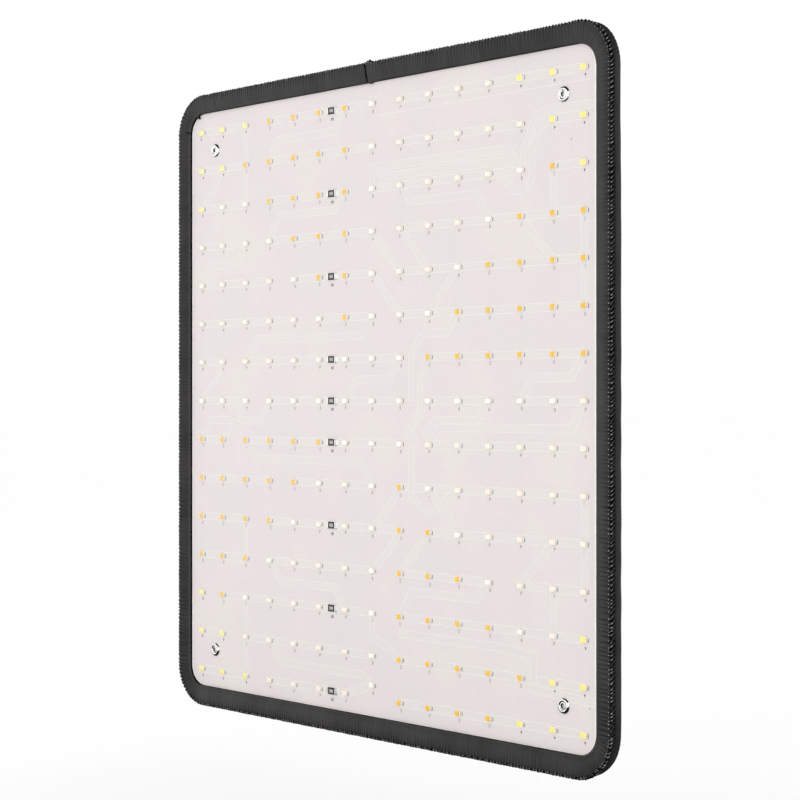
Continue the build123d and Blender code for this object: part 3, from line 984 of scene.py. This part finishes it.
def make_cover():
    """The rear cover cloth, laid flat on the core."""
    build = Build()
    ring = ring_points(STACK_R)
    stack(build, (0, 0), [(ring, COVER_BACK), (ring, CORE_BACK + 0.02)], 0, closed_back=True)
    source = build.piece("cover", [COVER])
    for number, obj in enumerate(fold_all(source, "cover", "rear_cover")):
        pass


TRACE_HALF = 1.8
LINE_HALF = 0.2
LINE_RISE = 0.05
BAND_RISE = 0.006
BAND_STEP = 0.0015
BAND_LEVELS = 14
PRINT_RISE = 0.045
RING_RISE = 0.03
PRINT_HALF = 0.14
SUNK = 0.004
BEAD_STEPS = 24
# The material numbers of the board's pieces.
FACE, RIDGE, GREY, DARK, BEAD, GAP_SHADE, COPPER = range(7)


def offset_line(points, distance, closed=False):
    """A polyline moved sideways, with mitred corners."""
    moved = []
    count = len(points)
    for i, (x, z) in enumerate(points):
        ends = []
        if closed or i > 0:
            ends.append((points[(i - 1) % count], (x, z)))
        if closed or i < count - 1:
            ends.append(((x, z), points[(i + 1) % count]))
        normals = []
        for a, b in ends:
            dx, dz = b[0] - a[0], b[1] - a[1]
            length = math.hypot(dx, dz) or 1.0
            normals.append((-dz / length, dx / length))
        nx = sum(v[0] for v in normals)
        nz = sum(v[1] for v in normals)
        size = math.hypot(nx, nz) or 1.0
        nx, nz = nx / size, nz / size
        mitre = 1 / max(0.5, nx * normals[0][0] + nz * normals[0][1])
        moved.append((x + nx * distance * mitre, z + nz * distance * mitre))
    return moved


def add_line(build, points, half, rise, slot, closed=False):
    """A fine ridge along a polyline on the board's face."""
    left = offset_line(points, half, closed)
    right = offset_line(points, -half, closed)
    count = len(points)
    ridge = [(x, BOARD_FRONT + SUNK, z) for x, z in left]
    ridge += [(x, BOARD_FRONT - rise, z) for x, z in points]
    ridge += [(x, BOARD_FRONT + SUNK, z) for x, z in right]
    faces = []
    for i in range(count if closed else count - 1):
        j = (i + 1) % count
        faces.append((count + i, count + j, j, i))
        faces.append((2 * count + i, 2 * count + j, count + j, count + i))
    build.add(ridge, faces, slot)


def add_band(build, points, step):
    """A copper band under the mask: a low tinted plateau whose outline is a fine pale ridge."""
    left = offset_line(points, TRACE_HALF)
    right = offset_line(points, -TRACE_HALF)
    add_line(build, left + right[::-1], LINE_HALF, LINE_RISE, RIDGE, closed=True)
    level = BOARD_FRONT - BAND_RISE - BAND_STEP * step
    count = len(points)
    plateau = [(x, level, z) for x, z in left + right]
    faces = [(count + i, count + i + 1, i + 1, i) for i in range(count - 1)]
    build.add(plateau, faces, COPPER)


# Copper bands as (column, row) points: links between rows, then the buses of the right half.
LINKS = (
    ((6, 0), (5.6, 0.5), (3.3, 0.5), (3, 1)), ((2, 0), (2, 1), (2, 2)), ((1, 1), (0.6, 1.5), (0, 2)),
    ((1, 2), (0.6, 2.5), (0, 3)), ((6, 2), (5.6, 2.4), (3.4, 2.4), (3, 3)),
    ((2, 3), (1.6, 3.5), (0.4, 3.5), (0, 4)), ((7, 3), (8, 4)), ((7, 4), (8, 5)),
    ((7, 5), (6.6, 5.45), (2.5, 5.45), (2, 6)), ((1, 6), (0.6, 6.5), (0, 7)),
    ((8, 6), (7.6, 6.5), (6.4, 6.5), (6, 7)), ((2, 7), (1.6, 7.5), (0.4, 7.5), (0, 8)),
    ((3, 7), (2.6, 7.5), (1.5, 7.5), (1, 8)), ((2, 8), (2.5, 8.45), (6.6, 8.45), (7, 9)),
    ((2, 10), (2, 11)), ((8, 9), (7.6, 9.5), (7, 10)), ((8, 10), (7.6, 10.5), (7, 11)),
    ((3, 11), (3.5, 11.5), (5.6, 11.5), (6, 12)), ((2, 12), (2, 13), (2, 14)),
    ((7, 12), (7, 12.5), (8, 13)), ((3, 13), (3.5, 13.5), (6.6, 13.5), (7, 13.7)),
    ((7, 2), (7, 1.5), (11.6, 1.5), (12, 2)), ((7.35, 2), (7.35, 1.75), (11.4, 1.75), (11.7, 2)),
    ((14.32, 0.8), (12.8, 0.79), (12.5, 0.86), (12.34, 1.02), (12.3, 1.25), (12.1, 1.58), (12.05, 2)),
    ((13, 1), (12.68, 1.05), (12.54, 1.2), (12.5, 1.32), (12.37, 1.55), (12.34, 2.2), (12.2, 2.38)),
    ((12.2, 2.38), (12.05, 2.43), (11.8, 2.42), (11.5, 2.15), (11.3, 2.1)),
    ((8, 2), (8.4, 2.4), (10.6, 2.4), (11, 3)), ((8, 3), (9, 4)), ((13, 2), (13, 3)), ((12, 3), (13, 4)),
    ((14, 3), (14, 4), (14, 5)), ((10, 4), (9.5, 4.5), (9, 5)),
    ((10, 5), (9.6, 5.45), (8.8, 5.45), (8.4, 5.9), (8.4, 7)), ((9, 6), (8.7, 6.4), (8.7, 7.3), (8, 8)),
    ((14, 6), (13.6, 6.5), (12.4, 6.5), (12, 7)), ((11, 7), (10.6, 7.45), (9.2, 7.45), (8.8, 7.8)),
    ((14, 7), (13.6, 7.6), (9.4, 7.6), (9, 8)), ((8.4, 8), (8.4, 9.2), (9, 9.6), (10, 9)),
    ((9, 9), (10, 10)), ((14, 9), (14, 10), (14, 11)), ((13, 10), (12, 11)), ((9, 10), (8, 11)),
    ((11, 11), (10.6, 11.4), (8.4, 11.4), (8, 12)), ((13, 11), (13, 12)),
    ((8, 12.4), (11.4, 12.4), (12.4, 12.5), (12.4, 13.2), (14.32, 13.3)),
)
# A single fine line, as (column, row) points.
LINE = ((7, 0.3), (14.2, 0.27))
# The columns after which each row's chain of bands breaks, rows from the top.
ROW_BREAKS = (
    (2, 7), (2, 7, 12), (2, 6, 12), (2, 7), (3, 7), (4, 7), (1, 8), (2, 8, 11),
    (1, 8), (3, 7), (2, 8), (2, 7, 11), (0, 7), (1, 7), (2, 7),
)


def led_place(row, column):
    """An LED's X and Z."""
    lift = RAISED_LIFT if (row, column) == RAISED_LED else 0.0
    return column_x(column), row_z(row) + lift


def chain_bands():
    """The runs of copper that join neighbouring LEDs along a row."""
    bands = []
    for row, breaks in enumerate(ROW_BREAKS):
        ends = [0, *(column + 1 for column in breaks), COUNT]
        for first, last in zip(ends, ends[1:]):
            if last - first > 1:
                bands.append([led_place(row, column) for column in range(first, last)])
    return bands


def add_flat(build, outline, slot):
    """A thin print on the board: a low plate with its edge."""
    count = len(outline)
    points = [(x, BOARD_FRONT + SUNK, z) for x, z in outline]
    points += [(x, BOARD_FRONT - PRINT_RISE, z) for x, z in outline]
    faces = [((i + 1) % count, count + (i + 1) % count, count + i, i) for i in range(count)]
    faces.append(tuple(range(count, 2 * count)))
    build.add(points, faces, slot)


def rectangle(cx, cz, width, height):
    w, h = width / 2, height / 2
    return [(cx + w, cz - h), (cx + w, cz + h), (cx - w, cz + h), (cx - w, cz - h)]


def add_ring(build, cx, cz, radius_x, radius_z):
    """A small printed ring."""
    angles = [a * math.pi / 7 for a in range(14)]
    outline = [(cx + radius_x * math.cos(a), cz + radius_z * math.sin(a)) for a in angles]
    add_line(build, outline, PRINT_HALF, RING_RISE, GREY, closed=True)


def add_marks(build, row, column, colour):
    """The prints beside one LED: a polarity bar and a small colour mark below."""
    x, z = led_place(row, column)
    rng = np.random.default_rng(row * COUNT + column)
    add_flat(build, rectangle(x + 2.75, z - 0.1, 0.36, 1.75), DARK)
    mark_x = x + rng.uniform(0.2, 1.0)
    mark_z = z - rng.uniform(3.2, 3.8)
    if (row, column) == (0, 0):
        mark_x = x - 1.2
    if colour == "O":
        add_ring(build, mark_x, mark_z, 0.5, 0.75)
    elif colour == "W":
        corners = ((-0.55, 0.6), (0.0, -0.7), (0.55, 0.6))
        add_flat(build, [(mark_x + dx, mark_z + dz) for dx, dz in corners], DARK)
    elif colour == "R":
        stem = [(mark_x - 0.4, mark_z - 0.8), (mark_x - 0.4, mark_z + 0.8)]
        add_line(build, stem, PRINT_HALF, PRINT_RISE, GREY)
        add_ring(build, mark_x + 0.1, mark_z + 0.35, 0.42, 0.4)
    else:
        add_ring(build, mark_x, mark_z + 0.38, 0.36, 0.3)
        add_ring(build, mark_x, mark_z - 0.38, 0.4, 0.34)


def bead_ring(reach, narrow, steps):
    """A ring that lies closer to the edge above and below than at the sides."""
    made = []
    for x, z in ring_points(1.0, steps):
        ox = x - math.copysign(CORNER_CENTRE, x)
        oz = z - math.copysign(CORNER_CENTRE, z)
        shift = np.clip([ox, -ox, oz, -oz], 0, 1) ** 2 @ np.array(BEAD_SHIFT)
        far = reach + narrow * abs(oz) - shift
        made.append((x + ox * (far - 1.0), z + oz * (far - 1.0)))
    return made


def add_board_sheet(build):
    """The board as one closed sheet: back, hidden edge in the gap's painted shade, bead along the
    binding with a painted highlight, and face.
    """
    tucked = ((STACK_R, BOARD_BACK), (STACK_R, BOARD_BACK - 0.12), (12.45, BOARD_BACK - 0.12))
    bead = (
        (12.05, 0.0, -1.66), (11.95, 0.0, -1.90), (11.80, 0.0, -1.98), (11.45, 0.35, -2.00),
        (11.10, 0.65, -1.93), (10.90, 0.80, BOARD_FRONT),
    )
    # The hidden edge's faces carry the gap's painted shade; the bead's faces carry a painted highlight.
    slots = (FACE, GAP_SHADE, GAP_SHADE, GAP_SHADE, BEAD, BEAD, BEAD, FACE)
    layers = [(ring_points(reach, BEAD_STEPS), y) for reach, y in tucked]
    layers += [(bead_ring(reach, narrow, BEAD_STEPS), y) for reach, narrow, y in bead]
    rings = [[(x, y, z) for x, z in outline] for outline, y in layers]
    for level, slot in enumerate(slots):
        add_rings(build, rings[level : level + 2], slot)
    every = range(len(rings[0]))
    build.add(rings[-1], [tuple(every)], FACE)
    build.add(rings[0], [tuple(reversed(every))], FACE)


def add_resistor_prints(build):
    """The solder pads and the two printed bars at each chip resistor."""
    for row in RESISTOR_ROWS:
        z = row_z(row)
        for side in (-1, 1):
            add_flat(build, rectangle(RESISTOR_X + side * 3.7, z, 1.9, 3.4), RIDGE)
        for shift, slot in ((-0.4, GREY), (0.7, DARK)):
            add_flat(build, rectangle(RESISTOR_X + shift, z - 4.1, 0.7, 1.4), slot)


def make_board():
    """The white circuit: face, rim with a painted highlight, copper relief and prints, in four bending
    pieces.
    """
    build = Build()
    add_board_sheet(build)
    for band in chain_bands():
        add_band(build, band, 0)
    for number, link in enumerate(LINKS):
        add_band(build, [(column_x(c), row_z(r)) for c, r in link], 1 + number % BAND_LEVELS)
    add_line(build, [(column_x(c), row_z(r)) for c, r in LINE], LINE_HALF, LINE_RISE, RIDGE)
    for row, codes in enumerate(LED_ROWS):
        for column, colour in enumerate(codes):
            add_marks(build, row, column, colour)
    add_resistor_prints(build)
    for x, z in ((134.0, 110.0), (145.0, -129.0)):
        dot = [(x + 0.3 * math.cos(a), z + 0.3 * math.sin(a)) for a in np.linspace(0, 5.5, 8)]
        add_flat(build, dot, DARK)
    source = build.piece("board", [BOARD, TRACE, PRINT, PRINT_DARK, RIM_HIGHLIGHT, PAINTED_GAP_SHADE, BAND])
    fold_all(source, "board", "flex_board")


# ================ parts on the board

PACKAGE_HALF = (1.75, 1.4)
SEAT_HALF = (1.57, 1.21)


def add_package(build, x, z):
    """An LED package: bevelled body with a dished window seat, and a tin lead at each side."""
    back, front = BOARD_FRONT, BOARD_FRONT - LED_DEPTH
    wide, tall = PACKAGE_HALF
    seat_wide, seat_tall = SEAT_HALF
    body = outlines(
        3,
        (wide, tall, 0.22, back),
        (wide, tall, 0.22, front + 0.16),
        (wide - 0.04, tall - 0.04, 0.2, front + 0.05),
        (wide - 0.10, tall - 0.10, 0.16, front),
        (seat_wide, seat_tall, 0.2, front),
        (seat_wide - 0.2, seat_tall - 0.2, 0.2, front + 0.3),
    )
    stack(build, (x, z), body, 0)
    lead = outlines(
        2, (0.20, 0.95, 0.08, back), (0.16, 0.93, 0.08, back - 0.10), (0.08, 0.85, 0.05, back - 0.18)
    )
    for side in (-1, 1):
        stack(build, (x + side * wide, z), lead, 1)


# Half width, half height and corner radius of each colour's window.
WINDOW_SHAPE = {
    "W": (1.54, 1.18, 0.25),
    "O": (1.42, 1.10, 0.78),
    "R": (1.45, 1.08, 0.5),
    "B": (1.45, 1.08, 0.5),
}


def add_window(build, x, z, colour, slot):
    """The gel that fills a package's window: slightly domed, square or rounded by its sort."""
    front = BOARD_FRONT - LED_DEPTH
    wide, tall, corner = WINDOW_SHAPE[colour]
    layers = outlines(
        5,
        (wide, tall, corner, front + 0.12),
        (wide - 0.03, tall - 0.03, corner - 0.02, front + 0.04),
        (wide * 0.8, tall * 0.8, corner * 0.8, front + 0.015),
        (wide * 0.4, tall * 0.4, corner * 0.4, front),
    )
    stack(build, (x, z), layers, slot)


RESISTOR_DEPTH = 0.6
END_SHIFT = 2.86
FILLET_SHIFT = 3.55
MARK_SHIFT = 0.95


def strip_rows(number):
    """The LED rows on one strip."""
    return range(number * ROWS_PER_STRIP, (number + 1) * ROWS_PER_STRIP)


def make_leds():
    """The LED packages and windows of each strip."""
    codes = "WORB"
    for number, strip in enumerate(STRIPS):
        body, gel = Build(), Build()
        names = set()
        for row in strip_rows(number):
            for column, colour in enumerate(LED_ROWS[row]):
                x, z = led_place(row, column)
                add_package(body, x, z)
                add_window(gel, x, z, colour, codes.index(colour))
                names.add({"W": "cool_white", "O": "warm"}.get(colour, "clear"))
        packages = body.piece(f"led_packages_{strip}", [PACKAGE, TIN], smooth=40)
        settle(packages, strip, "package_cream", f"{strip}_led_packages")
        windows = gel.piece(f"led_windows_{strip}", [WINDOWS[c] for c in codes], smooth=40)
        nodes = [f"{strip}_{name}_led_windows" for name in sorted(names)]
        settle(windows, strip, "window_clear", *nodes)


def add_resistor(build, x, z):
    """A chip resistor: coated body, wrapped tin ends, solder fillets and a printed block."""
    back, front = BOARD_FRONT, BOARD_FRONT - RESISTOR_DEPTH
    body = outlines(
        2, (2.7, 1.6, 0.12, back), (2.7, 1.6, 0.12, front + 0.1), (2.62, 1.52, 0.12, front)
    )
    end = outlines(
        2, (0.42, 1.62, 0.12, back), (0.42, 1.62, 0.12, front + 0.06), (0.34, 1.55, 0.12, front - 0.03)
    )
    fillet = outlines(
        3, (0.75, 1.75, 0.3, back), (0.5, 1.6, 0.25, back - 0.14), (0.25, 1.4, 0.15, back - 0.32)
    )
    mark = outlines(2, (0.36, 0.8, 0.1, front), (0.36, 0.8, 0.1, front - 0.015))
    stack(build, (x, z), body, 0)
    for side in (-1, 1):
        stack(build, (x + side * END_SHIFT, z), end, 1)
        stack(build, (x + side * FILLET_SHIFT, z), fillet, 1)
    for shift in (-MARK_SHIFT, 0.0, MARK_SHIFT):
        stack(build, (x + shift, z), mark, 2)


def make_resistors():
    """The chip resistors of each strip."""
    for number, strip in enumerate(STRIPS):
        build = Build()
        for row in RESISTOR_ROWS:
            if row in strip_rows(number):
                add_resistor(build, RESISTOR_X, row_z(row))
        obj = build.piece(f"chip_resistors_{strip}", [CERAMIC, TIN, CERAMIC_PRINT], smooth=40)
        settle(obj, strip, "resistor_black", f"{strip}_chip_resistors")


def turned(build, x, z, profile, slot):
    """A turned shape about a line along Y. The profile is (radius, Y) points."""
    angles = [2 * math.pi * i / TURN_STEPS for i in range(TURN_STEPS)]
    rings = [[(x + r * math.cos(a), y, z + r * math.sin(a)) for a in angles] for r, y in profile]
    add_rings(build, rings, slot)


TURN_STEPS = 48
# The snap post from its rim inwards, then from POST_BORE on, down its bore.
POST_PROFILE = (
    (3.55, -1.79), (3.50, -1.95), (3.36, -2.20), (3.10, -2.50), (2.75, -2.72), (2.40, -2.80),
    (2.10, -2.74), (1.90, -2.60), (1.78, -2.48), (1.66, -2.50), (1.50, -2.62), (1.30, -2.66),
    (1.12, -2.60), (1.00, -2.40), (0.96, -2.00), (0.96, 1.90), (0.60, 2.30), (0.02, 2.40),
)
POST_BORE = 12


def make_snaps():
    """The chrome snap posts on the front of the mat."""
    for strip, z in (("top", SNAP), ("bottom", -SNAP)):
        build = Build()
        for x in (-SNAP, SNAP):
            turned(build, x, z, POST_PROFILE[: POST_BORE + 1], 0)
            turned(build, x, z, POST_PROFILE[POST_BORE:], 1)
        obj = build.piece(f"snap_posts_{strip}", [CHROME, BORE], smooth=60)
        settle(obj, strip, "snap_chrome", f"{strip}_snap_posts")


FRAME_PAINT = {
    "top_snap_studs": CHROME,
    "bottom_snap_studs": CHROME,
    "connector_box_housing": BOX_PLASTIC,
    "connector_box_lid": BOX_PLASTIC,
    "connector_box_gasket": GASKET,
    "connector_box_lid_screws": SCREW,
    "dc_inlet_socket": SOCKET_PLASTIC,
    "dc_inlet_nut": SCREW,
    "dc_inlet_centre_pin": BRASS,
    "terminal_board": LAMINATE,
}


def paint_frame():
    """Gives the CAD nodes that stay in view their finished materials."""
    for name, material in FRAME_PAINT.items():
        for slot in frame["nodes"][name].material_slots:
            slot.link = "OBJECT"
            slot.material = material


# ================ studio

CAMERA_STAND = Vector((0.7643, -0.6144, 0.0))
CAMERA_LOOK = Vector((-0.7705, 0.6374, 0.0))
CAMERA_LENS = 93.7
FLOOR_GAP = 110.0


def add_card(name, half_x, half_y, level, paint):
    """A level card about the frame's own upright line."""
    mesh = bpy.data.meshes.new(name)
    corners = [(-half_x, -half_y), (half_x, -half_y), (half_x, half_y), (-half_x, half_y)]
    mesh.from_pydata([(x, y, level) for x, y in corners], [], [(0, 1, 2, 3)])
    mesh.materials.append(paint.material)
    card = bpy.data.objects.new(name, mesh)
    bpy.context.collection.objects.link(card)
    return card


def make_floor():
    """A plain pale floor some way under the mat, which hangs by its studs."""
    paint = Paint("floor_pale", (0.96, 0.96, 0.96), 0.8, mapping="Object")
    add_card("floor", 30.0, 30.0, CAD_BOX[0].z - FLOOR_GAP * MM, paint)


def add_flag(name, half_x, half_y, level):
    """A dark card that only shines show: it gives the chrome and the tape something to mirror."""
    card = add_card(name, half_x, half_y, level, Paint(name, (0.01, 0.01, 0.01), 1.0, mapping="Object"))
    card.visible_camera = card.visible_diffuse = card.visible_shadow = False


def add_light(name, position, target, size, power):
    """A square soft light that faces a point."""
    light = bpy.data.lights.new(name, "AREA")
    light.shape = "SQUARE"
    light.size = size
    light.energy = power
    obj = bpy.data.objects.new(name, light)
    obj.location = position
    obj.rotation_euler = (Vector(target) - Vector(position)).to_track_quat("-Z", "Y").to_euler()
    bpy.context.collection.objects.link(obj)


def make_studio():
    """Soft light from all round, a large key from the camera's left and three smaller lights."""
    world = bpy.data.worlds.new("studio")
    world.use_nodes = True
    background = world.node_tree.nodes["Background"].inputs
    background["Color"].default_value = (1.0, 1.0, 1.0, 1.0)
    background["Strength"].default_value = 1.03
    bpy.context.scene.world = world
    middle = place(0, 0, 0)
    low, high = CAD_BOX[0].z, CAD_BOX[1].z
    add_light("key", (-0.6, -1.6, 0.9), middle, 1.2, 1.6)
    add_light("sheen", (-1.45, -0.95, -0.1), middle, 0.8, 1.0)
    add_light("low_fill", (0.2, -1.3, low + 0.2), place(0, 0, -150), 0.7, 0.7)
    add_light("fill", (1.6, -0.7, 0.5), middle, 0.9, 2.0)
    add_flag("flag_above", 0.8, 0.75, high + 0.45)
    add_flag("flag_below", 0.6, 0.33, low - 0.5 * FLOOR_GAP * MM)


def make_camera():
    camera = bpy.data.cameras.new("camera")
    camera.lens = CAMERA_LENS
    camera.sensor_width = 36.0
    obj = bpy.data.objects.new("camera", camera)
    obj.location = place(0, BOARD_FRONT - LED_DEPTH, 0) + CAMERA_STAND
    obj.rotation_euler = CAMERA_LOOK.to_track_quat("-Z", "Y").to_euler()
    bpy.context.collection.objects.link(obj)
    bpy.context.scene.camera = obj
    bpy.context.scene.view_settings.view_transform = "Standard"


make_camera()
make_studio()
make_floor()
CORE = make_core()
make_cover()
make_board()
make_binding()
make_leds()
make_resistors()
make_snaps()
paint_frame()
